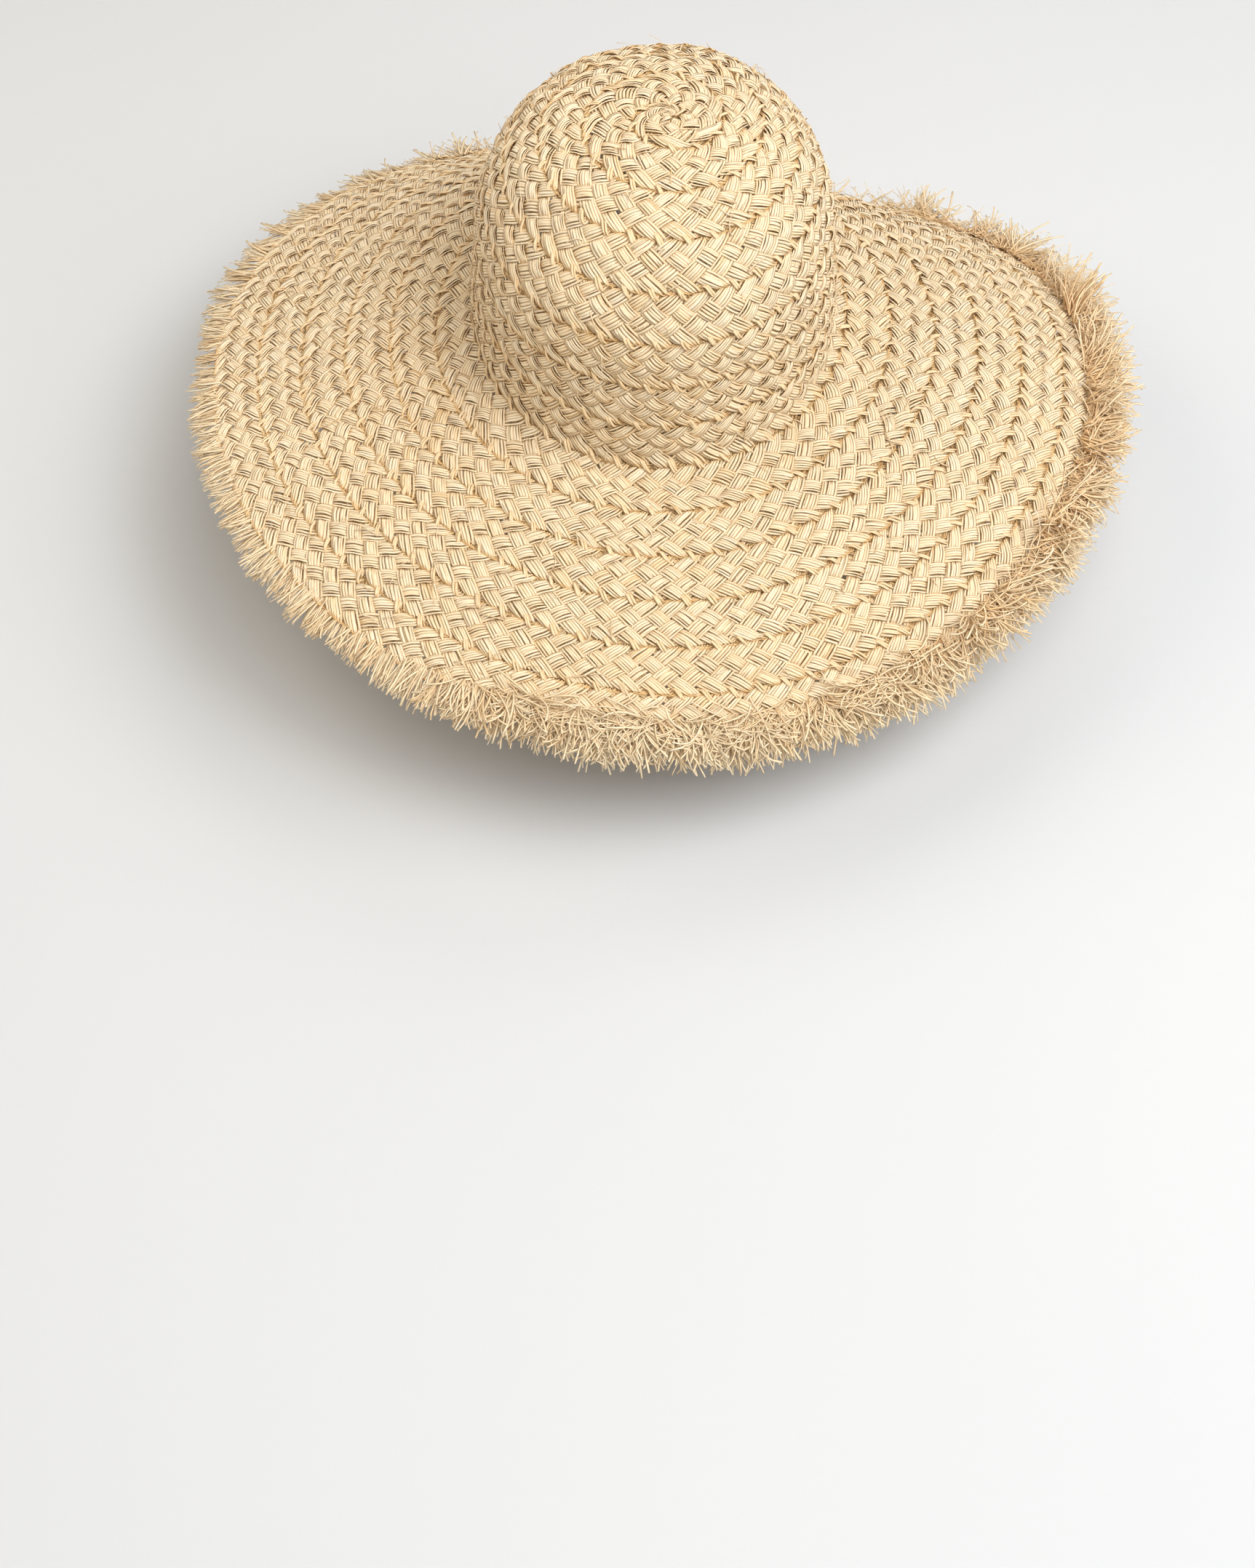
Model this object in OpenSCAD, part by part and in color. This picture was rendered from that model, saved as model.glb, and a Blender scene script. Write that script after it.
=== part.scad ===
// Straw sun hat: one raffia plait coiled from the tip of the crown to the edge of the brim,
// laced edge to edge, with a fringe of loose ends round the brim and a ribbon sweatband inside.
// A place on the hat is given by u, the distance from the tip along its outer face, and an azimuth.
// Millimetres. +Z is up, the wearer's face is towards -Y, and the origin is the centre of the
// head opening, in the plane where the crown's side would meet the brim.

/* [Head opening] */
// Mean radius of the crown's outer face at the head opening
crown_r = 96.5; // [92:0.5:102]
// How much longer the front-to-back half of the opening is than the mean radius
head_oval = 8.5; // [4:0.5:10]

/* [Crown] */
// Height of the crown's tip above the head opening
crown_h = 115; // [110:1:122]
// Radius of the low dome on top
top_r = 190; // [160:5:240]
// Radius of the rounded shoulder
shoulder_r = 64; // [56:1:68]
// Lean of the crown's side from upright, in degrees
side_lean = 5; // [4:0.5:7]
// Distance of the first coil from the middle of the crown
coil_offset = 8; // [0:1:12]

/* [Brim] */
// Radius of the bend between crown and brim
bend_r = 9; // [7:0.5:11]
// Mean drop from the head opening to the fringe's ends
brim_drop = 53; // [46:1:58]
// Extra drop at the front, and as much less at the back
front_dip = 29; // [10:1:32]
// Lift of both sides, and as much extra drop at front and back
side_lift = 20; // [10:1:22]
// Lower left side, and as much higher right side
side_tilt = 12; // [0:1:14]
// Height of the three soft waves round the brim
wave_h = 7; // [0:1:9]
// Share of the mean slope that the brim has where it leaves the crown
brim_ease = 0.7; // [0.5:0.05:1]
// Length of the last row of the brim, in turns
edge_turns = 1.2; // [1.1:0.05:1.3]

/* [Plait] */
// Width of the flat plait, from seam to seam
plait_w = 22; // [21:0.5:23]
// Thickness of the flat plait
plait_t = 3.4; // [2.6:0.2:4]
// Gap between two turns, which the lacing closes
seam_gap = 0.3; // [0.2:0.1:0.5]
// Width of the strand that laces the turns together
lace_w = 3; // [2:0.5:4]
// Thickness of the lacing strand
lace_t = 0.9; // [0.6:0.1:1.2]

/* [Fringe] */
// Mean length of the loose ends beyond the plait
fringe_l = 16; // [12:1:24]
// Difference in length between neighbouring tufts
tuft_step = 6; // [2:1:8]
// Thickness of the fringe at its ends
fringe_tip_t = 1.4; // [1:0.2:2]

/* [Sweatband] */
// Height of the ribbon
band_h = 30; // [24:1:34]
// Height of the ribbon's lower edge above the head opening
band_z = 5; // [4:0.5:8]
// Thickness of the ribbon
band_t = 1.2; // [0.8:0.1:1.6]
// Length of one stitch
stitch_l = 5; // [4:0.5:6]
// Number of stitches round the ribbon
stitch_count = 56; // [48:2:64]

/* [Hidden] */

straw = [0.91, 0.80, 0.60];
straw_dark = [0.80, 0.64, 0.40];
straw_gold = [0.86, 0.70, 0.42];
ribbon = [0.93, 0.89, 0.80];
thread = [0.97, 0.95, 0.90];

crown_rows = 7;
brim_rows = 5;
turn = 360;
steps = 72;               // flat facets in one turn of the plait
step = turn / steps;
coil_start = 4.3;         // width of the plait's folded end at the tip
coil_azimuth = 180;       // where the coil begins
tail_share = 0.04;        // width of the plait's very end, as a share of its full width
stitch_w = 1;
stitch_t = 0.5;
stitch_rise = 4;          // height of the stitches above the ribbon's lower edge
ribbon_gap = 0.1;         // clearance between the lacing and the ribbon

function arc(radius, angle) = radius * angle * PI / 180;
function turned(length, radius) = length / radius * 180 / PI;

// The crown's profile: a low dome, a round shoulder and a straight leaning side
side_a = 90 - side_lean;
shoulder_x = crown_r - shoulder_r * sin(side_a)
    - (crown_h - top_r + shoulder_r * cos(side_a)) * tan(side_lean);
top_a = asin(shoulder_x * cos(side_lean) / (top_r - shoulder_r)) - side_lean;
dome_end = [top_r * sin(top_a), crown_h - top_r * (1 - cos(top_a))];
shoulder_end = [dome_end.x + shoulder_r * (sin(side_a) - sin(top_a)),
    dome_end.y - shoulder_r * (cos(top_a) - cos(side_a))];
dome_u = arc(top_r, top_a);
shoulder_u = dome_u + arc(shoulder_r, side_a - top_a);
side_u = shoulder_u + shoulder_end.y / sin(side_a);

// Where the plait ends, as an angle along the coil, and the angle over which it narrows to its end
tail_t = (crown_rows + brim_rows + 1 + edge_turns) * turn;
taper_t = 24;
// Mean distance from the head opening to the fringe's ends, along the brim
brim_reach = coil_start + plait_w * (tail_t / turn - 0.5) + fringe_l - side_u;

// The brim's drop and slopes at azimuth f, where 0 is +X, the wearer's left side
function drop(f) = brim_drop - front_dip * sin(f) - side_lift * cos(2 * f)
    - side_tilt * cos(f) + wave_h * cos(3 * f);
function mean_slope(f) = asin(drop(f) / brim_reach);
function first_slope(f) = brim_ease * mean_slope(f);
function last_slope(f) = (2 - brim_ease) * mean_slope(f);

// Distances along the profile, u, where the bend to the brim begins and ends
function bend_trim(f) = bend_r * tan((side_a - first_slope(f)) / 2);
function bend_u(f) = side_u - bend_trim(f);
function brim_u(f) = bend_u(f) + arc(bend_r, side_a - first_slope(f));

// Slope of the outer face below level, at distance u from the tip
function slope(u, f) =
    u < dome_u ? turned(u, top_r)
    : u < shoulder_u ? top_a + turned(u - dome_u, shoulder_r)
    : u < bend_u(f) ? side_a
    : u < brim_u(f) ? side_a - turned(u - bend_u(f), bend_r)
    : first_slope(f) + (last_slope(f) - first_slope(f)) * (u - brim_u(f)) / brim_reach;

// Radius and height of the outer face at distance u from the tip
function on_dome(u) = [top_r * sin(turned(u, top_r)), crown_h - top_r * (1 - cos(turned(u, top_r)))];
function on_shoulder(a) = dome_end
    + shoulder_r * [sin(a) - sin(top_a), cos(a) - cos(top_a)];
function on_side(u) = shoulder_end + (u - shoulder_u) * [cos(side_a), -sin(side_a)];
function on_bend(u, f, a) = on_side(bend_u(f))
    + bend_r * [sin(side_a) - sin(a), cos(side_a) - cos(a)];
function on_brim(u, f, a) =
    let (half = (a + first_slope(f)) / 2, bow = (a - first_slope(f)) * PI / 180,
        chord = (u - brim_u(f)) * (1 - bow * bow / 24))
    [crown_r, 0] + bend_trim(f) * [cos(first_slope(f)), -sin(first_slope(f))]
        + chord * [cos(half), -sin(half)];
function profile(u, f) =
    u < dome_u ? on_dome(u)
    : u < shoulder_u ? on_shoulder(slope(u, f))
    : u < bend_u(f) ? on_side(u)
    : u < brim_u(f) ? on_bend(u, f, slope(u, f))
    : on_brim(u, f, slope(u, f));

// A point of the hat at distance u, azimuth f and a depth below the outer face
function place(u, f, depth) =
    let (p = profile(u, f), a = slope(u, f),
        oval = head_oval * pow(min(1, p.x / crown_r), 2),
        offset = coil_offset * pow(1 - min(1, u / bend_u(f)), 2),
        r = p.x - depth * sin(a))
    [(r - oval) * cos(f) - offset, (r + oval) * sin(f), p.y - depth * cos(a)];

// A point on the crown's straight side, at height z
function side_place(z, f, depth) =
    let (r = crown_r - z * tan(side_lean), oval = head_oval * pow(r / crown_r, 2),
        in = r - depth * cos(side_lean))
    [(in - oval) * cos(f), (in + oval) * sin(f), z];

// The coil: its outer edge after an angle t, and the azimuth there
function coil_u(t) = coil_start + plait_w * t / turn;
function azimuth(t) = coil_azimuth + t;
function taper(t) = max(tail_share, min(1, (tail_t - t) / taper_t));
function inner_u(t) = coil_u(t - turn);
function outer_u(t) = t < tail_t - taper_t ? coil_u(t) - seam_gap
    : inner_u(t) + (plait_w - seam_gap) * taper(t);

function row_section(t) =
    let (f = azimuth(t))
    [place(inner_u(t), f, 0), place(outer_u(t), f, 0),
        place(outer_u(t), f, plait_t), place(inner_u(t), f, plait_t)];
function lace_section(t) =
    let (f = azimuth(t), u = coil_u(t), w = lace_w / 2)
    [place(u - w, f, plait_t), place(u + w, f, plait_t), place(u, f, plait_t + lace_t)];

function quad(a, b, c, d) = [[a, b, c], [a, c, d]];
function side_faces(rings, m, n) = [for (i = [0 : rings - 1]) for (j = [0 : m - 1])
    let (next = (i + 1) % n, k = (j + 1) % m)
    each quad(i * m + j, i * m + k, next * m + k, next * m + j)];

// A solid swept through cross-sections, open at both ends or closed into a ring
module swept(sections, ring = false) {
    n = len(sections);
    m = len(sections[0]);
    start = [for (j = [m - 1 : -1 : 0]) j];
    end = [for (j = [0 : m - 1]) (n - 1) * m + j];
    faces = ring ? side_faces(n, m, n) : concat([start], side_faces(n - 1, m, n), [end]);
    polyhedron(points = [for (s = sections) each s], faces = faces);
}

module plait_turn(index) {
    first = index * turn;
    color(straw) swept([for (i = [0 : steps]) row_section(first + i * step)]);
}

// The last row runs a little past one turn and narrows to the plait's end
module brim_edge_row() {
    first = (crown_rows + brim_rows + 1) * turn;
    color(straw) swept([for (i = [0 : edge_turns * steps]) row_section(first + i * step)]);
}

// The plait's folded end, wound into a spiral disc
module crown_tip() {
    top = [for (i = [0 : steps]) place(outer_u(i * step), azimuth(i * step), 0)];
    under = [for (i = [0 : steps]) place(outer_u(i * step), azimuth(i * step), plait_t)];
    hub = 2 * (steps + 1);
    n = steps + 1;
    fans = [for (i = [0 : steps - 2]) each [[hub, i + 1, i], [hub + 1, n + i, n + i + 1]]];
    closing = [[hub, 0, steps - 1], [0, steps, steps - 1], [hub + 1, n + steps - 1, n],
        [n, n + steps - 1, n + steps]];
    rim = [for (i = [0 : steps]) each quad(i, (i + 1) % n, n + (i + 1) % n, n + i)];
    color(straw) polyhedron(points = concat(top, under, [place(0, 0, 0), place(0, 0, plait_t)]),
        faces = concat(fans, closing, rim));
}

module lacing(first_turn, turns) {
    color(straw_dark) swept([for (i = [0 : turns * steps]) lace_section(first_turn * turn + i * step)]);
}

module crown_lacing() {
    lacing(0, crown_rows);
}

module brim_lacing() {
    lacing(crown_rows, brim_rows + edge_turns);
}

// Loose strand ends in tufts of alternating length, thinner at their ends, round the last turn
module fringe() {
    function tuft_l(i) = fringe_l + tuft_step * (i % 2 - 0.5);
    sections = [for (i = [0 : steps - 1]) let (t = tail_t - turn + i * step, f = azimuth(t),
        u = outer_u(t), tip = u + tuft_l(i), mid = (plait_t - fringe_tip_t) / 2)
        [place(u, f, 0), place(tip, f, mid), place(tip, f, mid + fringe_tip_t), place(u, f, plait_t)]];
    color(straw_gold) swept(sections, ring = true);
}

band_depth = plait_t + lace_t + ribbon_gap;

module sweatband() {
    sections = [for (i = [0 : steps - 1]) let (f = i * step, top = band_z + band_h)
        [side_place(top, f, band_depth), side_place(band_z, f, band_depth),
            side_place(band_z, f, band_depth + band_t), side_place(top, f, band_depth + band_t)]];
    color(ribbon) swept(sections, ring = true);
}

module sweatband_stitches() {
    z = band_z + stitch_rise;
    for (i = [0 : stitch_count - 1]) {
        f = (i + 0.5) * turn / stitch_count;
        p = side_place(z, f, band_depth + band_t);
        q = side_place(z, f + 1, band_depth + band_t);
        along = atan2(q.y - p.y, q.x - p.x);
        color(thread) translate(p) rotate([0, 0, along]) translate([-stitch_l / 2, 0, 0])
            cube([stitch_l, stitch_t, stitch_w]);
    }
}

crown_tip();
plait_turn(1);  // crown_row_1
plait_turn(2);  // crown_row_2
plait_turn(3);  // crown_row_3
plait_turn(4);  // crown_row_4
plait_turn(5);  // crown_row_5
plait_turn(6);  // crown_row_6
plait_turn(7);  // crown_row_7
plait_turn(8);  // brim_row_1
plait_turn(9);  // brim_row_2
plait_turn(10);  // brim_row_3
plait_turn(11);  // brim_row_4
plait_turn(12);  // brim_row_5
brim_edge_row();
crown_lacing();
brim_lacing();
fringe();
sweatband();
sweatband_stitches();
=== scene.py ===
"""A straw sun hat: one flat raffia plait of five woven strands, coiled and laced from the
crown's tip to the brim's edge, with a frayed fringe and a ribbon sweatband inside.

Lengths are in millimetres in the CAD frame, and become metres when a mesh is made. A place on
the hat is u, the distance from the tip along its outer face, an azimuth f in radians, and a
depth below that face. On the coil, a place is t, the degrees wound since the tip, or s, the
plait's own length since the tip, with w, the distance across the plait from its inner edge.
"""

import bpy
import numpy as np
from mathutils import Matrix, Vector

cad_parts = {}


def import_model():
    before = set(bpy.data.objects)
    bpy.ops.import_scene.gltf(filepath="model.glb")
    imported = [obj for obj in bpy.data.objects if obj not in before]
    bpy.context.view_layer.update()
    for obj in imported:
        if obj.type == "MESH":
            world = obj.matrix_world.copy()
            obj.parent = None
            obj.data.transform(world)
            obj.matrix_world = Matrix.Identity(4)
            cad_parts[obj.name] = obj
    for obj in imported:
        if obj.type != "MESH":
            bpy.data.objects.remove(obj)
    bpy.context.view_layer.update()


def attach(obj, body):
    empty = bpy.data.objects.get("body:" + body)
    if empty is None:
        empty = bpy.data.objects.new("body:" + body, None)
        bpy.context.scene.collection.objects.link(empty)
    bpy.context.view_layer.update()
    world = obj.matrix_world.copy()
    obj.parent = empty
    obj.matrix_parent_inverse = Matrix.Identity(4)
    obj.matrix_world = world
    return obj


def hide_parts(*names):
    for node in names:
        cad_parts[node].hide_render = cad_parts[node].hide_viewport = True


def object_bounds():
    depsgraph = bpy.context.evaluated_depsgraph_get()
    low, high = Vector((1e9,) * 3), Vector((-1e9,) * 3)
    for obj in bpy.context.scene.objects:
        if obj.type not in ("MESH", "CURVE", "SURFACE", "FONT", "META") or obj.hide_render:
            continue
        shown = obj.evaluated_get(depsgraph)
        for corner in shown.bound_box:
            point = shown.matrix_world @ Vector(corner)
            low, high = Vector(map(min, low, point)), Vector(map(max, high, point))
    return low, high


MM = 0.001
rng = np.random.default_rng(57)

# The hat's outer face, as in the CAD source
CROWN_R, HEAD_OVAL = 96.5, 8.5
CROWN_H, TOP_R, SHOULDER_R, COIL_OFFSET = 115.0, 190.0, 64.0, 8.0
SIDE_LEAN = np.radians(5)
SIDE_A = np.radians(90) - SIDE_LEAN
BEND_R, BRIM_DROP, FRONT_DIP, SIDE_LIFT, SIDE_TILT, WAVE_H = 9.0, 53.0, 29.0, 20.0, 12.0, 7.0
BRIM_EASE = 0.7
PLAIT_W, PLAIT_T, LACE_T, FRINGE_L, COIL_START = 22.0, 3.4, 0.9, 16.0, 4.3
BAND_H, BAND_Z, BAND_RISE = 30.0, 5.0, 4.0
TURN = 360.0
CROWN_ROWS, BRIM_ROWS, EDGE_TURNS = 7, 5, 1.2
TAIL_T = (CROWN_ROWS + BRIM_ROWS + 1 + EDGE_TURNS) * TURN  # where the plait ends
TAPER_T = 24.0  # how far before its end the plait begins to narrow
MID = PLAIT_T / 2

# The weave of the plait
STRANDS = 5
FIBRES = 6  # side by side in one strand
LOOP = 12.2  # length of plait from one edge loop to the next
WEAVE_H = 1.1
PUFF_H = 0.5
REACH = 1.1  # how far the edge loops reach into the next row
SEAM_SHADE_BAND = 1.8  # how far in from its edges the plait takes a warmer, darker painted shade along the seams
FIBRE_T = 0.42
MESH_LENGTH = 700.0  # the most plait in one mesh, for the exporter's limit on triangles
PERIOD_Q = 8.0  # crossings and folds of one strand before its path repeats
# A strand's path: at each phase q, how many loops along the plait and which lane across it
KNOTS_Q = [0, 3, 3.5, 4, 7, 7.5, 8]
KNOTS_S = [0, 1.5, 2, 2.5, 4, 4.5, 5]
KNOTS_Y = [1, 4, 5, 4, 1, 0, 1]


def smooth(x):
    x = np.clip(x, 0, 1)
    return x * x * (3 - 2 * x)


def unit(v):
    return v / np.maximum(np.linalg.norm(v, axis=-1, keepdims=True), 1e-9)


def wander(n, pitch, size):
    """A smooth random walk round zero over n rings, with a knot every so many rings."""
    knots = rng.normal(0, size, int(n / pitch) + 3)
    x = np.arange(n) / pitch
    i = x.astype(int)
    return knots[i] + (knots[i + 1] - knots[i]) * smooth(x - i)


# ---- The hat's surface ----

SHOULDER_X = (CROWN_R - SHOULDER_R * np.sin(SIDE_A)
              - (CROWN_H - TOP_R + SHOULDER_R * np.cos(SIDE_A)) * np.tan(SIDE_LEAN))
TOP_A = np.arcsin(SHOULDER_X * np.cos(SIDE_LEAN) / (TOP_R - SHOULDER_R)) - SIDE_LEAN
DOME_END = (TOP_R * np.sin(TOP_A), CROWN_H - TOP_R * (1 - np.cos(TOP_A)))
SHOULDER_END = (DOME_END[0] + SHOULDER_R * (np.sin(SIDE_A) - np.sin(TOP_A)),
                DOME_END[1] - SHOULDER_R * (np.cos(TOP_A) - np.cos(SIDE_A)))
DOME_U = TOP_R * TOP_A
SHOULDER_U = DOME_U + SHOULDER_R * (SIDE_A - TOP_A)
SIDE_U = SHOULDER_U + SHOULDER_END[1] / np.sin(SIDE_A)
BRIM_REACH = COIL_START + PLAIT_W * (TAIL_T / TURN - 0.5) + FRINGE_L - SIDE_U


def drop(f):
    return (BRIM_DROP - FRONT_DIP * np.sin(f) - SIDE_LIFT * np.cos(2 * f)
            - SIDE_TILT * np.cos(f) + WAVE_H * np.cos(3 * f))


def profile(u, f):
    """Radius, height and slope of the outer face, and the distance at which the bend begins."""
    mean = np.arcsin(drop(f) / BRIM_REACH)
    first, last = BRIM_EASE * mean, (2 - BRIM_EASE) * mean
    trim = BEND_R * np.tan((SIDE_A - first) / 2)
    bend_u = SIDE_U - trim
    brim_u = bend_u + BEND_R * (SIDE_A - first)
    zones = [u < DOME_U, u < SHOULDER_U, u < bend_u, u < brim_u]
    a = np.select(zones, [u / TOP_R, TOP_A + (u - DOME_U) / SHOULDER_R, SIDE_A + 0 * u,
                          SIDE_A - (u - bend_u) / BEND_R],
                  first + (last - first) * (u - brim_u) / BRIM_REACH)
    side = u - SHOULDER_U
    bend = bend_u - SHOULDER_U
    half = (a + first) / 2
    chord = (u - brim_u) * (1 - (a - first) ** 2 / 24)
    r = np.select(zones, [
        TOP_R * np.sin(a),
        DOME_END[0] + SHOULDER_R * (np.sin(a) - np.sin(TOP_A)),
        SHOULDER_END[0] + side * np.cos(SIDE_A),
        SHOULDER_END[0] + bend * np.cos(SIDE_A) + BEND_R * (np.sin(SIDE_A) - np.sin(a)),
    ], CROWN_R + trim * np.cos(first) + chord * np.cos(half))
    z = np.select(zones, [
        CROWN_H - TOP_R * (1 - np.cos(a)),
        DOME_END[1] + SHOULDER_R * (np.cos(a) - np.cos(TOP_A)),
        SHOULDER_END[1] - side * np.sin(SIDE_A),
        SHOULDER_END[1] - bend * np.sin(SIDE_A) + BEND_R * (np.cos(SIDE_A) - np.cos(a)),
    ], -trim * np.sin(first) - chord * np.sin(half))
    return r, z, a, bend_u


def outward(u, f):
    """The direction out of the outer face."""
    a = profile(u, f)[2]
    return unit(np.stack([np.sin(a) * np.cos(f), np.sin(a) * np.sin(f), np.cos(a)], -1))


def place(u, f, depth):
    r, z, a, bend_u = profile(u, f)
    oval = HEAD_OVAL * np.minimum(1, r / CROWN_R) ** 2
    offset = COIL_OFFSET * (1 - np.minimum(1, u / bend_u)) ** 2
    r = r - depth * np.sin(a)
    return np.stack([(r - oval) * np.cos(f) - offset, (r + oval) * np.sin(f),
                     z - depth * np.cos(a)], -1)


def side_place(z, f, depth):
    """A point on the crown's straight side, at height z."""
    r = CROWN_R - z * np.tan(SIDE_LEAN)
    oval = HEAD_OVAL * (r / CROWN_R) ** 2
    inner = r - depth * np.cos(SIDE_LEAN)
    return np.stack([(inner - oval) * np.cos(f), (inner + oval) * np.sin(f), z + 0 * f], -1)


def handmade(p):
    """How far the hand-sewn straw stands off its smooth form, in soft waves."""
    x, y, z = p[..., 0], p[..., 1], p[..., 2]
    return (0.7 * np.sin(x / 11 + y / 23 + 1) * np.sin(y / 13 - z / 17)
            + 0.5 * np.sin(x / 7.3 - z / 9 + 2) * np.sin(y / 8.1 + x / 19))


# ---- The coil ----

def coil_u(t):
    return COIL_START + PLAIT_W * t / TURN


def inner_u(t):
    return np.maximum(0, coil_u(t - TURN))


def outer_u(t):
    share = np.clip((TAIL_T - t) / TAPER_T, 0.04, 1)
    return inner_u(t) + (coil_u(t) - inner_u(t)) * share


def azimuth(t):
    return np.radians(180 + t)


def lengths_along(points):
    steps = np.linalg.norm(np.diff(points, axis=0), axis=1)
    return np.concatenate([[0], np.cumsum(steps)])


COIL_T = np.arange(0, TAIL_T + 0.5, 1.0)
COIL_S = lengths_along(place((inner_u(COIL_T) + outer_u(COIL_T)) / 2, azimuth(COIL_T), MID))
SEAM_T = np.arange(0, TAIL_T - TURN + 0.5, 1.0)
SEAM_S = lengths_along(place(coil_u(SEAM_T), azimuth(SEAM_T), MID))


def plait_length(t0, t1):
    s0, s1 = np.interp([t0, t1], COIL_T, COIL_S)
    return s1 - s0


# ---- Ribbons: closed strips of raffia swept along a path ----

def ribbon(path, up, width, thick, roll):
    """Four points round each ring: left edge, top, right edge and underside."""
    along = unit(np.gradient(path, axis=0))
    left = unit(np.cross(up, along))
    top = np.cross(along, left)
    c, s = np.cos(roll)[:, None], np.sin(roll)[:, None]
    left, top = left * c + top * s, top * c - left * s
    half_w, half_t = width[:, None] / 2, thick[:, None] / 2
    return np.stack([path + left * half_w, path + top * half_t,
                     path - left * half_w, path - top * half_t], 1)


def fibre_marks(n, start, step, tint, relief_shade):
    """What the materials read at each point: place across, place along, tint, and the relief that
    sets a painted shade, warmer and darker where it is low.
    Tint and relief are one value, one for each ring, or for relief one for each point."""
    if np.ndim(relief_shade) < 2:
        relief_shade = np.reshape(relief_shade, (-1, 1))
    across = np.tile([-1.0, 0.0, 1.0, 0.0], (n, 1))
    along = np.repeat((start + step * np.arange(n))[:, None], 4, 1)
    each = np.ones((n, 4))
    return np.stack([across, along, each * np.reshape(tint, (-1, 1)),
                     each * relief_shade], -1)


def ribbon_mesh(name, runs, material):
    """One mesh of many closed ribbons. A run is the rings (n, 4, 3) and marks (n, 4, 4)."""
    counts = np.array([len(rings) for rings, _ in runs])
    firsts = np.concatenate([[0], np.cumsum(counts)[:-1]]) * 4
    points = np.concatenate([rings.reshape(-1, 3) for rings, _ in runs]) * MM
    marks = np.concatenate([m.reshape(-1, 4) for _, m in runs])
    ring = np.concatenate([first + 4 * np.arange(n - 1) for first, n in zip(firsts, counts)])
    k = np.arange(4)
    nxt = (k + 1) % 4
    sides = ring[:, None, None] + np.stack([k, nxt, nxt + 4, k + 4], -1)[None]
    starts = firsts[:, None] + k[::-1]
    ends = (firsts + 4 * (counts - 1))[:, None] + k
    quads = np.concatenate([sides.reshape(-1, 4), starts, ends])
    mesh = bpy.data.meshes.new(name)
    mesh.vertices.add(len(points))
    mesh.vertices.foreach_set("co", points.ravel())
    mesh.loops.add(quads.size)
    mesh.loops.foreach_set("vertex_index", quads.ravel().astype(np.int32))
    mesh.polygons.add(len(quads))
    mesh.polygons.foreach_set("loop_start", np.arange(0, quads.size, 4, dtype=np.int32))
    mesh.polygons.foreach_set("use_smooth", np.ones(len(quads), bool))
    for attribute, columns, kind in (("fibre", marks[:, :3], "FLOAT_VECTOR"),
                                     ("relief_shade", marks[:, 3], "FLOAT")):
        layer = mesh.attributes.new(attribute, kind, "POINT")
        layer.data.foreach_set("vector" if kind == "FLOAT_VECTOR" else "value",
                               np.ascontiguousarray(columns).ravel())
    mesh.update(calc_edges=True)
    return add_piece(name, mesh, material)


def add_piece(name, mesh, material):
    mesh.materials.append(material)
    piece = bpy.data.objects.new(name, mesh)
    bpy.context.scene.collection.objects.link(piece)
    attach(piece, "root")
    return piece


# ---- The woven plait ----

def strand_rings():
    """The strand's phase q at each ring of one period, closer together at the folds."""
    return np.concatenate([np.linspace(a, b, n, endpoint=False) for a, b, n in
                           ((0, 3, 15), (3, 4, 10), (4, 7, 15), (7, 8, 10))])


def strand_phase():
    """The phase q of every ring of a strand, from before the plait's start to past its end."""
    repeats = np.arange(-1, int(COIL_S[-1] / (STRANDS * LOOP)) + 2)
    return (strand_rings()[None] + PERIOD_Q * repeats[:, None]).ravel()


def at_fold(fold, width):
    return np.exp(-(fold / width) ** 2)


def weave_fibre(strand, fibre, q, habit):
    """One fibre along the whole plait: its place along and across, height and roll. The
    strand's fibres draw together where it folds at an edge, and it turns over there."""
    n = len(q)
    phase = q % PERIOD_Q
    outer_fold, inner_fold = phase - 3.5, phase - 7.5
    y = (np.interp(phase, KNOTS_Q, KNOTS_Y)
         + 0.1 * (at_fold(inner_fold, 0.1) - at_fold(outer_fold, 0.1)))
    w = PLAIT_W * ((y / STRANDS - 0.5) * REACH + 0.5) + habit["across"] + wander(n, 9, 0.12)
    gather = 1 - 0.34 * (at_fold(outer_fold, 0.28) + at_fold(inner_fold, 0.28))
    share = (fibre + 0.5) / FIBRES - 0.5
    shift = LOOP * share * gather * habit["spread"] + wander(n, 11, 0.25)
    s = (LOOP * (np.floor(q / PERIOD_Q) * STRANDS + np.interp(phase, KNOTS_Q, KNOTS_S) + strand)
         + shift + habit["along"])
    folding = (np.cos(np.pi * np.clip(outer_fold, -0.5, 0.5)) ** 2
               + np.cos(np.pi * np.clip(inner_fold, -0.5, 0.5)) ** 2)
    # 1 where the strand is on top of a crossing, -1 where it is underneath
    over = -np.cos(np.pi * (q + shift / LOOP * (1 - folding)))
    h = WEAVE_H * over * (1 - 2.6 * share ** 2)
    heading = np.where((phase > 3.5) & (phase < 7.5), -1, 1)
    roll = (np.pi * smooth((inner_fold + 0.3) / 0.6) - np.pi * smooth((outer_fold + 0.3) / 0.6)
            + 1.3 * share * over * heading * (1 - folding) + wander(n, 8, 0.16))
    return s, w, h, roll


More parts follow.
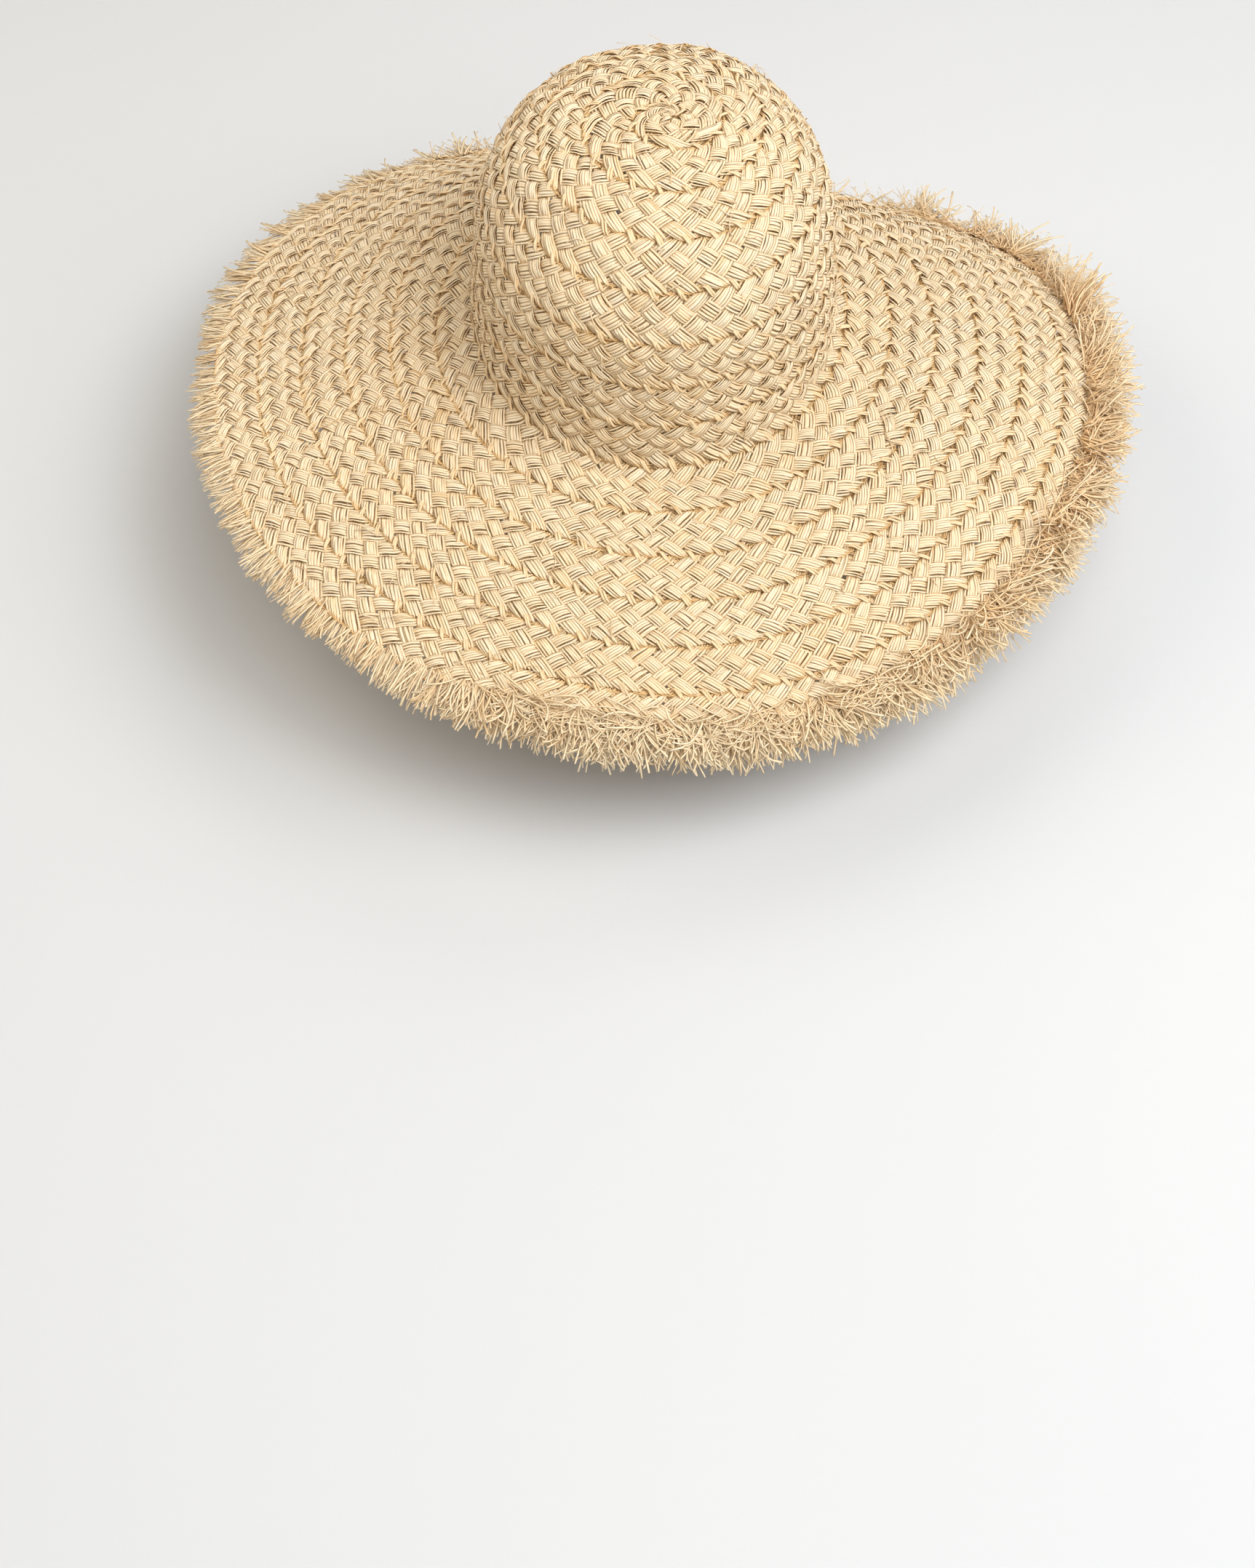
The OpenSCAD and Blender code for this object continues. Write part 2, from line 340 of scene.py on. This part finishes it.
def weave_runs():
    """The coil angle, rings and marks of every fibre of the plait."""
    runs = []
    q = strand_phase()
    for strand in range(STRANDS):
        n = len(q)
        habit = {"spread": 0.95 + wander(n, 16, 0.09), "along": wander(n, 23, 0.5),
                 "across": wander(n, 19, 0.3), "tint": wander(n, 70, 0.09)}
        for fibre in range(FIBRES):
            s, w, h, roll = weave_fibre(strand, fibre, q, habit)
            tint = 0.42 + habit["tint"] + rng.normal(0, 0.07) + wander(n, 40, 0.1)
            keep = (s >= 0) & (s <= COIL_S[-1])
            s, w, h, roll, tint = s[keep], w[keep], h[keep], roll[keep], tint[keep]
            runs.append(coiled_fibre(s, w, h, roll, tint))
    return runs


def coiled_fibre(s, w, h, roll, tint):
    """A fibre of the flat plait, laid on the hat along the coil."""
    n = len(s)
    t = np.interp(s, COIL_S, COIL_T)
    f = azimuth(t)
    inner, outer = inner_u(t), outer_u(t)
    u = np.maximum(inner + (outer - inner) * w / PLAIT_W, 0.4)
    puff = PUFF_H * np.sin(np.pi * np.clip(w / PLAIT_W, 0, 1)) - 0.15
    path = place(u, f, MID - h - puff - rng.normal(0, 0.1) - wander(n, 10, 0.07))
    up = outward(u, f)
    path = path + up * handmade(path)[:, None]
    squeeze = np.clip((outer - inner) / PLAIT_W, 0.35, 1)
    width = np.maximum((rng.uniform(1.3, 1.9) + wander(n, 14, 0.16)) * squeeze, 0.5)
    rings = ribbon(path, up, width, FIBRE_T + 0 * width, roll)
    # Painted shade along the seams: near the plait's edges, where the rows meet, the tone grows
    # warmer and darker
    seam = smooth(1 - np.minimum(w, PLAIT_W - w) / SEAM_SHADE_BAND)
    # Painted shade: the side that faces out of the weave stays pale, and the side that faces in
    # takes a warmer, darker tone
    proud = np.cos(roll) * h / WEAVE_H
    proud = np.stack([0 * h - 0.2, proud, 0 * h - 0.2, -proud], -1)
    relief_shade = np.clip((proud + 1) / 2, 0, 1) * (1 - 0.7 * seam)[:, None]
    return t, rings, fibre_marks(n, rng.uniform(0, 900), 1.5, np.clip(tint, 0, 1), relief_shade)


def cut_runs(runs, t0, t1):
    """The stretches of each ribbon between two coil angles. Neighbours share one ring."""
    cut = []
    for t, rings, marks in runs:
        a, b = np.searchsorted(t, [t0, t1])
        a = max(a - 1, 0)
        if b - a > 1:
            cut.append((rings[a:b], marks[a:b]))
    return cut


def loose_ends(t0, t1):
    """Short raffia ends that have worked out of the plait and lie or stand on it."""
    spacing = 14
    runs = []
    for _ in range(int(plait_length(t0, t1) / spacing)):
        n = 7
        t, w = rng.uniform(t0, t1), rng.uniform(1, PLAIT_W - 1)
        u = np.array([inner_u(t) + (outer_u(t) - inner_u(t)) * w / PLAIT_W])
        f = np.array([azimuth(t)])
        start, up = place(u, f, 0.5)[0], outward(u, f)[0]
        out = unit(place(u + 1, f, 0.5)[0] - start)
        side = np.cross(up, out)
        x = np.linspace(0, 1, n)
        angle = rng.uniform(0, 2 * np.pi) + rng.normal(0, 0.8) * x
        rise = rng.uniform(0.1, 0.5) - rng.uniform(0.1, 0.9) * x
        heading = (out * (np.cos(angle) * np.cos(rise))[:, None]
                   + side * (np.sin(angle) * np.cos(rise))[:, None] + up * np.sin(rise)[:, None])
        step = rng.uniform(4, 13) / (n - 1)
        path = start + np.concatenate([[np.zeros(3)], np.cumsum(heading[:-1] * step, axis=0)])
        path = path + up * handmade(start)
        width = rng.uniform(0.3, 0.9) * (1 - 0.5 * x)
        rings = ribbon(path, np.tile(up, (n, 1)), width, 0.22 + 0 * x, rng.normal(0, 0.5) * x)
        runs.append((rings, fibre_marks(n, rng.uniform(0, 900), step, rng.uniform(0.2, 0.95), 0.8)))
    return runs


def weave_plait(material):
    runs = weave_runs()
    row_names = (["crown_tip"] + [f"crown_row_{i}" for i in range(1, CROWN_ROWS + 1)]
                 + [f"brim_row_{i}" for i in range(1, BRIM_ROWS + 1)] + ["brim_edge_row"])
    for index, row in enumerate(row_names):
        t0, t1 = index * TURN, (index + 1) * TURN
        if row == "brim_edge_row":
            t1 = TAIL_T
        parts = int(np.ceil(plait_length(t0, t1) / MESH_LENGTH))
        bounds = np.linspace(t0, t1, parts + 1)
        for part in range(parts):
            name = f"{row}_weave" + ("" if parts == 1 else f"_{part + 1}")
            ends = bounds[part], bounds[part + 1]
            piece = ribbon_mesh(name, cut_runs(runs, *ends) + loose_ends(*ends), material)
            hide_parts(row)


# ---- Lacing ----

LACE_RINGS = 12  # in one stitch
# The strand's path over one stitch: at each length, how far across the seam and how high
LACE_S = [0, 1.0, 2.2, 3.4, 4.4, 4.6, 8.3, 12.0]
LACE_W = [-2.6, -2.0, 0, 2.0, 2.6, 2.6, 0, -2.6]
LACE_H = [0.2, 1.2, 1.6, 1.2, 0.2, -1.9, -2.2, -1.9]


def lacing_piece(name, node, t0, t1, material):
    """A strand that crosses the seam on top at each edge loop and runs slantwise under it."""
    s0, s1 = np.interp([t0, t1], SEAM_T, SEAM_S)
    stitches = int((s1 - s0) / LOOP)
    phase = (np.arange(stitches * LACE_RINGS) % LACE_RINGS) / LACE_RINGS * LOOP
    start = s0 + np.repeat(np.arange(stitches), LACE_RINGS) * LOOP
    runs = []
    for strand in (-1, 1):
        n = len(phase)
        s = start + phase + strand * 0.55 + wander(n, 7, 0.25)
        t = np.interp(s, SEAM_S, SEAM_T)
        across = np.interp(phase, LACE_S, LACE_W) + wander(n, 7, 0.25)
        height = np.interp(phase, LACE_S, LACE_H) + wander(n, 9, 0.1)
        u, f = np.maximum(coil_u(t) + across, 1.0), azimuth(t)
        path = place(u, f, MID - height)
        up = outward(u, f)
        path = path + up * handmade(path)[:, None]
        width = np.maximum(1.5 + wander(n, 9, 0.2), 0.7)
        rings = ribbon(path, up, width, 0.5 + 0 * width, wander(n, 9, 0.3))
        # Painted shade: the lacing is warmer and darker where it runs under the plait
        relief_shade = np.clip(0.35 + 0.2 * height, 0, 1)
        runs.append((rings, fibre_marks(n, rng.uniform(0, 900), 1.1, 0.5 + 0.1 * strand, relief_shade)))
    piece = ribbon_mesh(name, runs, material)
    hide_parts(node)


# ---- Fringe ----

# How long the fringe is at each azimuth, in degrees
FRINGE_AZ = [-90, -45, -12, 0, 45, 90, 180, 270]
FRINGE_LEN = [18, 19, 18, 12, 14, 16, 17, 18]


def combed(az):
    """1 where the fringe lies in straight bunches, 0 where it is a dense chopped brush."""
    az = (az + 90) % 360 - 90
    return smooth((az + 75) / 30) * (1 - smooth((az - 55) / 25))


def fringe_fibre(t, root, yaw, lift, length, curl, width, tint, relief_shade):
    """A flat fibre that leaves the plait near its edge at coil angle t. The root is how far
    inside the edge it starts, and at what depth."""
    n = 6
    u0, f0 = np.array([outer_u(t) - root[0]]), np.array([azimuth(t)])
    start = place(u0, f0, root[1])[0]
    out = unit(place(u0 + 1, f0, root[1])[0] - place(u0 - 1, f0, root[1])[0])
    up = outward(u0, f0)[0]
    side = np.cross(up, out)
    x = np.linspace(0, 1, n)
    angle = yaw + curl[0] * x ** 1.3
    rise = lift[0] - lift[1] * x + curl[1] * x ** 2
    heading = (out * (np.cos(angle) * np.cos(rise))[:, None]
               + side * (np.sin(angle) * np.cos(rise))[:, None] + up * np.sin(rise)[:, None])
    step = (length + root[0]) / (n - 1)
    path = start + np.concatenate([[np.zeros(3)], np.cumsum(heading[:-1] * step, axis=0)])
    rings = ribbon(path, np.tile(up, (n, 1)), width * (1 - 0.1 * x), 0.28 + 0 * x,
                   curl[2] * (1.4 - x))
    # Painted shade: warmer and darker near the root, paler towards the tip
    return rings, fibre_marks(n, 900 * tint, step, tint, np.clip(relief_shade + 0.3 * x, 0, 1))


def fringe_runs():
    """Tufts round the last turn, each of a dozen fibres or more that lean together."""
    runs = []
    t = TAIL_T - TURN
    while t < TAIL_T:
        az = (180 + t + 90) % 360 - 90
        rough = 1 - combed(az)
        lean, lift = rng.normal(0, 0.16 + 0.3 * rough), rng.normal(0.1 * rough, 0.1 + 0.15 * rough)
        size = np.interp(az, FRINGE_AZ, FRINGE_LEN) * rng.uniform(0.82, 1.1)
        tuft_tint = rng.uniform(0.25, 0.65)
        # Painted shade, strongest on the side round azimuth 175 degrees, where the fringe turns
        # warmer
        relief_shade = 0.55 - 0.25 * np.exp(-((az - 175) / 55) ** 2)
        for _ in range(int(14 + 14 * rough)):
            wild = 0.3 + 0.9 * rough
            inside = rng.uniform(0.5, 3.5 + 8 * rough)
            depth = rng.uniform(0.2, 2.9) if inside < 4 else rng.uniform(-1.5, 0.0)
            curl = (rng.normal(0, 0.8 * wild), rng.normal(0, 0.45 * wild), rng.uniform(-0.9, 0.9))
            runs.append((t, *fringe_fibre(
                t + rng.uniform(-0.6, 0.6), (inside, depth),
                lean + rng.normal(0, 0.12 + 0.55 * rough),
                (lift + rng.normal(0, 0.08 + 0.14 * rough), rng.uniform(0, 0.3)),
                size * rng.uniform(0.6 - 0.1 * rough, 1.1), curl, rng.uniform(0.55, 1.25),
                np.clip(tuft_tint + rng.normal(0, 0.15), 0, 1), relief_shade)))
        t += rng.uniform(0.7, 1.1)
    return runs


def lay_fringe(material):
    runs = fringe_runs()
    sectors = 3
    for sector in range(sectors):
        t0 = TAIL_T - TURN + sector * TURN / sectors
        part = [(rings, marks) for t, rings, marks in runs
                if t0 <= t < t0 + TURN / sectors or (sector == sectors - 1 and t >= TAIL_T)]
        piece = ribbon_mesh(f"fringe_{sector + 1}", part, material)
        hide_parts("fringe")


# ---- Sweatband and its stitches ----

def band_mesh(name, points, material):
    """A closed band over a grid of points (rows, columns, 3). Its rows go round the section,
    and a cap closes each end."""
    rows, columns = points.shape[:2]
    mesh = bpy.data.meshes.new(name)
    faces = [(i * columns + j, i * columns + j + 1,
              ((i + 1) % rows) * columns + j + 1, ((i + 1) % rows) * columns + j)
             for i in range(rows) for j in range(columns - 1)]
    faces += [tuple(i * columns for i in reversed(range(rows))),
              tuple(i * columns + columns - 1 for i in range(rows))]
    mesh.from_pydata([tuple(p) for p in points.reshape(-1, 3) * MM], [], faces)
    mesh.polygons.foreach_set("use_smooth", np.ones(len(mesh.polygons), bool))
    mesh.update()
    return add_piece(name, mesh, material)


SEAM_F = np.radians(90)  # the ribbon's ends meet at the centre back


def band_depth(height, f):
    """Depth of the ribbon's middle below the crown's outer face, where it eases in and out."""
    ease = (0.35 * np.sin(7 * f + 2) + 0.25 * np.sin(11 * f)) * height
    return PLAIT_T + LACE_T + 0.75 + ease


def make_sweatband(material):
    """A ribbed ribbon round the head opening, its ends overlapped at the centre back."""
    f = np.linspace(SEAM_F, SEAM_F + np.radians(365), 2401)
    over = smooth((f - SEAM_F - 2 * np.pi + 0.03) / 0.03)
    ribs = np.where(np.arange(len(f)) % 4 < 2, 0.16, -0.1)
    side_heights = np.linspace(0, 1, 9)
    sections = []
    for heights, side in ((side_heights, 1), (side_heights[::-1], -1)):
        for height in heights:
            rolled = at_fold(height, 0.05) + at_fold(1 - height, 0.05)
            depth = (band_depth(height, f) + 0.9 * over
                     + side * (0.3 + 0.12 * rolled + ribs * (1 - rolled)))
            z = BAND_Z + BAND_H * height + 0.25 * np.sin(5 * f + 1)
            sections.append(side_place(z, f, depth))
    band = band_mesh("sweatband_ribbon", np.array(sections), material)
    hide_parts("sweatband")
    return band


def make_stitches(material):
    """Thread stitches along the ribbon's lower edge, each a small arch of rounded thread."""
    count, sides, rings = 56, 8, 9
    points, faces = [], []
    x = np.linspace(-1, 1, rings)
    ring = np.linspace(0, 2 * np.pi, sides, endpoint=False)
    for i in range(count):
        f = 2 * np.pi * (i + 0.5) / count + rng.normal(0, 0.004) + x * 0.026
        z = BAND_Z + BAND_RISE + 0.5 + rng.normal(0, 0.15) + x * rng.normal(0, 0.2)
        depth = band_depth(BAND_RISE / BAND_H, f) + 0.75 - 0.8 * x ** 4
        centre = side_place(z, f, depth)
        up = np.array([[0, 0, 1.0]])
        side = unit(np.cross(unit(np.gradient(centre, axis=0)), up))
        radius = 0.5 * np.sqrt(np.clip(1.06 - x ** 6, 0.04, 1))[:, None, None]
        twist = (ring[None] + 1.5 * x[:, None])[..., None]
        tube = centre[:, None] + radius * (side[:, None] * np.cos(twist)
                                           + up[:, None] * np.sin(twist))
        first = len(points)
        points += [tuple(p) for p in tube.reshape(-1, 3) * MM]
        faces += [(first + a * sides + b, first + a * sides + (b + 1) % sides,
                   first + (a + 1) * sides + (b + 1) % sides, first + (a + 1) * sides + b)
                  for a in range(rings - 1) for b in range(sides)]
        faces += [tuple(first + b for b in reversed(range(sides))),
                  tuple(first + (rings - 1) * sides + b for b in range(sides))]
    mesh = bpy.data.meshes.new("sweatband_thread")
    mesh.from_pydata(points, [], faces)
    mesh.polygons.foreach_set("use_smooth", np.ones(len(mesh.polygons), bool))
    thread = add_piece("sweatband_thread", mesh, material)
    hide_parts("sweatband_stitches")
    return thread


# ---- Materials ----

class Nodes:
    """Short calls for building a node tree."""

    def __init__(self, name):
        self.material = bpy.data.materials.new(name)
        self.material.use_nodes = True
        self.tree = self.material.node_tree
        self.shader = self.tree.nodes["Principled BSDF"]

    def add(self, kind, inputs=(), **settings):
        node = self.tree.nodes.new(kind)
        for key, value in settings.items():
            setattr(node, key, value)
        for key, value in dict(inputs).items():
            if isinstance(value, bpy.types.NodeSocket):
                self.tree.links.new(value, node.inputs[key])
            else:
                node.inputs[key].default_value = value
        return node

    def math(self, operation, a, b):
        return self.add("ShaderNodeMath", {0: a, 1: b}, operation=operation).outputs[0]

    def ramp(self, value, stops):
        node = self.add("ShaderNodeValToRGB", {"Fac": value})
        ramp = node.color_ramp
        while len(ramp.elements) < len(stops):
            ramp.elements.new(0.5)
        for element, (position, colour) in zip(ramp.elements, stops):
            element.position = position
            element.color = (*colour, 1)
        return node.outputs["Color"]

    def mix(self, share, a, b, kind="MIX"):
        node = self.add("ShaderNodeMix", data_type="RGBA", blend_type=kind)
        for socket, value in zip((node.inputs[0], node.inputs[6], node.inputs[7]), (share, a, b)):
            if isinstance(value, bpy.types.NodeSocket):
                self.tree.links.new(value, socket)
            else:
                socket.default_value = value
        return node.outputs[2]

    def finish(self, colour, roughness, height, strength, distance):
        bump = self.add("ShaderNodeBump", {"Height": height, "Strength": strength,
                                           "Distance": distance})
        self.tree.links.new(colour, self.shader.inputs["Base Color"])
        self.tree.links.new(roughness, self.shader.inputs["Roughness"])
        self.tree.links.new(bump.outputs[0], self.shader.inputs["Normal"])
        return self.material


# Tones from pale to dark, then the painted shade on fibres that lie low in the weave and along the
# fibres' edges
PLAIT_TONES = [(0.2, (0.92, 0.79, 0.58)), (0.5, (0.91, 0.73, 0.48)), (0.72, (0.87, 0.64, 0.35)),
               (0.9, (0.66, 0.33, 0.10))]
LACE_TONES = [(0.2, (0.91, 0.75, 0.50)), (0.7, (0.88, 0.63, 0.34))]
FRINGE_TONES = [(0.15, (0.97, 0.85, 0.62)), (0.5, (0.96, 0.77, 0.50)), (0.9, (0.88, 0.58, 0.27))]
STRAW_SHADE, FRINGE_SHADE = (0.84, 0.67, 0.40), (0.99, 0.72, 0.42)
PLAIT_EDGE_SHADE, LACE_EDGE_SHADE, FRINGE_EDGE_SHADE = (0.90, 0.69, 0.42), (0.94, 0.70, 0.44), (0.96, 0.76, 0.52)


def straw_material(name, stops, shade, edge):
    """Raffia: streaked along each fibre, tinted fibre by fibre, with painted shade: warmer where it
    lies low in the weave and browner along a fibre's edges, where neighbouring fibres meet."""
    n = Nodes(name)
    fibre = n.add("ShaderNodeAttribute", attribute_name="fibre").outputs["Vector"]
    relief_shade = n.add("ShaderNodeAttribute", attribute_name="relief_shade").outputs["Fac"]
    part = n.add("ShaderNodeSeparateXYZ", {0: fibre}).outputs
    streak_at = n.add("ShaderNodeCombineXYZ", {
        0: n.math("MULTIPLY", part[0], 4.0), 1: n.math("MULTIPLY", part[1], 0.07),
        2: n.math("MULTIPLY", part[2], 41.0)}).outputs[0]
    streak = n.add("ShaderNodeTexNoise", {"Vector": streak_at, "Scale": 1.6, "Detail": 4.0,
                                          "Roughness": 0.6}).outputs["Fac"]
    patch_at = n.add("ShaderNodeCombineXYZ", {
        0: 0.0, 1: n.math("MULTIPLY", part[1], 0.03),
        2: n.math("MULTIPLY", part[2], 17.0)}).outputs[0]
    patch = n.add("ShaderNodeTexNoise", {"Vector": patch_at, "Scale": 1.0,
                                         "Detail": 2.0}).outputs["Fac"]
    tone = n.math("ADD", n.math("MULTIPLY", part[2], 0.55), n.math("MULTIPLY", patch, 0.45))
    tone = n.math("ADD", tone, n.math("MULTIPLY", n.math("SUBTRACT", streak, 0.5), 0.8))
    colour = n.ramp(tone, stops)
    # Painted shade: a warmer, darker tone where the fibre lies low in the weave or near a seam
    painted_shade = n.ramp(relief_shade, [(0.0, shade), (0.6, (1, 1, 1))])
    colour = n.mix(1.0, colour, painted_shade, "MULTIPLY")
    # Painted shade along each fibre's edges, where neighbouring fibres meet
    edge_shade = n.ramp(n.math("ABSOLUTE", part[0], 0.0), [(0.7, (1, 1, 1)), (0.97, edge)])
    colour = n.mix(1.0, colour, edge_shade, "MULTIPLY")
    roughness = n.math("ADD", n.math("MULTIPLY", streak, 0.3), 0.33)
    n.shader.inputs["Specular IOR Level"].default_value = 0.6
    return n.finish(colour, roughness, streak, 0.6, 0.0003)


def ribbon_material():
    n = Nodes("grosgrain_ribbon")
    where = n.add("ShaderNodeTexCoord").outputs["Object"]
    weave = n.add("ShaderNodeTexNoise", {"Vector": where, "Scale": 900.0,
                                         "Detail": 3.0}).outputs["Fac"]
    wear = n.add("ShaderNodeTexNoise", {"Vector": where, "Scale": 18.0,
                                        "Detail": 3.0}).outputs["Fac"]
    tone = n.math("ADD", n.math("MULTIPLY", weave, 0.35), n.math("MULTIPLY", wear, 0.65))
    colour = n.ramp(tone, [(0.3, (0.70, 0.62, 0.47)), (0.7, (0.83, 0.77, 0.64))])
    roughness = n.math("ADD", n.math("MULTIPLY", weave, 0.2), 0.62)
    n.shader.inputs["Sheen Weight"].default_value = 0.2
    return n.finish(colour, roughness, weave, 0.35, 0.0003)


def thread_material():
    n = Nodes("cotton_thread")
    where = n.add("ShaderNodeTexCoord").outputs["Object"]
    twist = n.add("ShaderNodeTexWave", {"Vector": where, "Scale": 600.0, "Distortion": 2.0,
                                        "Detail": 2.0}, bands_direction="DIAGONAL").outputs["Fac"]
    colour = n.ramp(twist, [(0.2, (0.50, 0.36, 0.20)), (0.8, (0.68, 0.52, 0.32))])
    roughness = n.math("ADD", n.math("MULTIPLY", twist, 0.2), 0.55)
    return n.finish(colour, roughness, twist, 0.4, 0.0002)


WALL_GLOW = (0.16, 0.16, 0.16)


def floor_material():
    """Pale and matt. Far from the hat it glows softly, as a lit studio wall does."""
    n = Nodes("pale_floor")
    where = n.add("ShaderNodeTexCoord").outputs["Object"]
    cloud = n.add("ShaderNodeTexNoise", {"Vector": where, "Scale": 1.5}).outputs["Fac"]
    colour = n.ramp(cloud, [(0.3, (0.63, 0.635, 0.64)), (0.7, (0.65, 0.655, 0.66))])
    roughness = n.math("ADD", n.math("MULTIPLY", cloud, 0.05), 0.85)
    radius = n.add("ShaderNodeVectorMath", {0: where}, operation="LENGTH").outputs["Value"]
    glow = n.ramp(n.math("MULTIPLY", radius, 0.25), [(0.25, (0, 0, 0)), (0.75, WALL_GLOW)])
    n.tree.links.new(glow, n.shader.inputs["Emission Color"])
    n.shader.inputs["Emission Strength"].default_value = 1.0
    return n.finish(colour, roughness, cloud, 0.05, 0.001)


# ---- Stage ----

def make_floor(z):
    """A round floor that curves up into a pale wall on every side."""
    flat, bend, wall = 2.6, 1.2, 3.2
    turn = np.linspace(0, np.pi / 2, 13)
    radius = np.concatenate([[0.01, 0.5, 1.5], flat + bend * np.sin(turn), [flat + bend]])
    height = np.concatenate([[0, 0, 0], bend * (1 - np.cos(turn)), [wall]])
    around = np.linspace(0, 2 * np.pi, 96, endpoint=False)
    points = np.stack([radius[:, None] * np.cos(around), radius[:, None] * np.sin(around),
                       z + height[:, None] + 0 * around], -1)
    rows, columns = points.shape[:2]
    faces = [(i * columns + j, (i + 1) * columns + j,
              (i + 1) * columns + (j + 1) % columns, i * columns + (j + 1) % columns)
             for i in range(rows - 1) for j in range(columns)]
    faces.append(tuple(range(columns)))
    mesh = bpy.data.meshes.new("floor")
    mesh.from_pydata([tuple(p) for p in points.reshape(-1, 3)], [], faces)
    mesh.polygons.foreach_set("use_smooth", np.ones(len(faces), bool))
    mesh.materials.append(floor_material())
    floor = bpy.data.objects.new("floor", mesh)
    bpy.context.scene.collection.objects.link(floor)


def make_camera():
    """The photograph's view: from above and behind, the hat high in the frame."""
    distance, elevation = 1.152, np.radians(43.325)
    aim_up, aim_side = np.radians(11.47), np.radians(0.62)
    right = np.array([-1.0, 0, 0])
    forward = np.array([0, -np.cos(elevation), -np.sin(elevation)])
    up = np.array([0, -np.sin(elevation), np.cos(elevation)])
    place_at = -distance * forward
    tilted = forward * np.cos(aim_up) - up * np.sin(aim_up)
    up = up * np.cos(aim_up) + forward * np.sin(aim_up)
    right, forward = (right * np.cos(aim_side) + tilted * np.sin(aim_side),
                      tilted * np.cos(aim_side) - right * np.sin(aim_side))
    data = bpy.data.cameras.new("camera")
    data.lens = 53.9
    camera = bpy.data.objects.new("camera", data)
    bpy.context.scene.collection.objects.link(camera)
    turn = Matrix((right, up, -forward)).transposed().to_4x4()
    camera.matrix_world = Matrix.Translation(place_at) @ turn
    bpy.context.scene.camera = camera


def make_light(name, at, target, size, power, colour):
    data = bpy.data.lights.new(name, "AREA")
    data.shape = "DISK"
    data.size = size
    data.energy = power
    data.color = colour
    light = bpy.data.objects.new(name, data)
    bpy.context.scene.collection.objects.link(light)
    away = unit(np.array(at) - np.array(target))
    across = unit(np.cross([0, 0, 1.0], away))
    turn = Matrix((across, np.cross(away, across), away)).transposed().to_4x4()
    light.matrix_world = Matrix.Translation(at) @ turn


def light_stage():
    make_light("key", (-0.4, 0.85, 1.5), (0, 0, 0.02), 1.5, 20, (0.98, 0.99, 1.0))
    make_light("side", (-1.1, 0.4, 1.4), (0, 0, 0.02), 1.5, 22, (0.98, 0.99, 1.0))
    make_light("back", (-0.4, -1.3, 1.4), (0, 0, 0), 1.2, 7, (1.0, 0.99, 0.97))
    make_light("fill", (1.3, -0.2, 1.2), (0, 0, 0), 1.6, 12.5, (1.0, 0.90, 0.75))
    world = bpy.data.worlds.new("studio")
    world.use_nodes = True
    background = world.node_tree.nodes["Background"]
    background.inputs["Color"].default_value = (1.0, 0.99, 0.97, 1)
    background.inputs["Strength"].default_value = 0.06
    bpy.context.scene.world = world
    bpy.context.scene.view_settings.view_transform = "Standard"


# ---- The scene ----

def main():
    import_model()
    plait_straw = straw_material("raffia_plait", PLAIT_TONES, STRAW_SHADE, PLAIT_EDGE_SHADE)
    lace_straw = straw_material("raffia_lacing", LACE_TONES, STRAW_SHADE, LACE_EDGE_SHADE)
    fringe_straw = straw_material("raffia_fringe", FRINGE_TONES, FRINGE_SHADE, FRINGE_EDGE_SHADE)
    weave_plait(plait_straw)
    lacing_piece("crown_lacing_strand", "crown_lacing", 0, CROWN_ROWS * TURN, lace_straw)
    lacing_piece("brim_lacing_strand", "brim_lacing", CROWN_ROWS * TURN, TAIL_T - TURN, lace_straw)
    lay_fringe(fringe_straw)
    band = make_sweatband(ribbon_material())
    thread = make_stitches(thread_material())
    visual_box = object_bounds()
    make_floor(float(visual_box[0][2]))
    make_camera()
    light_stage()


main()
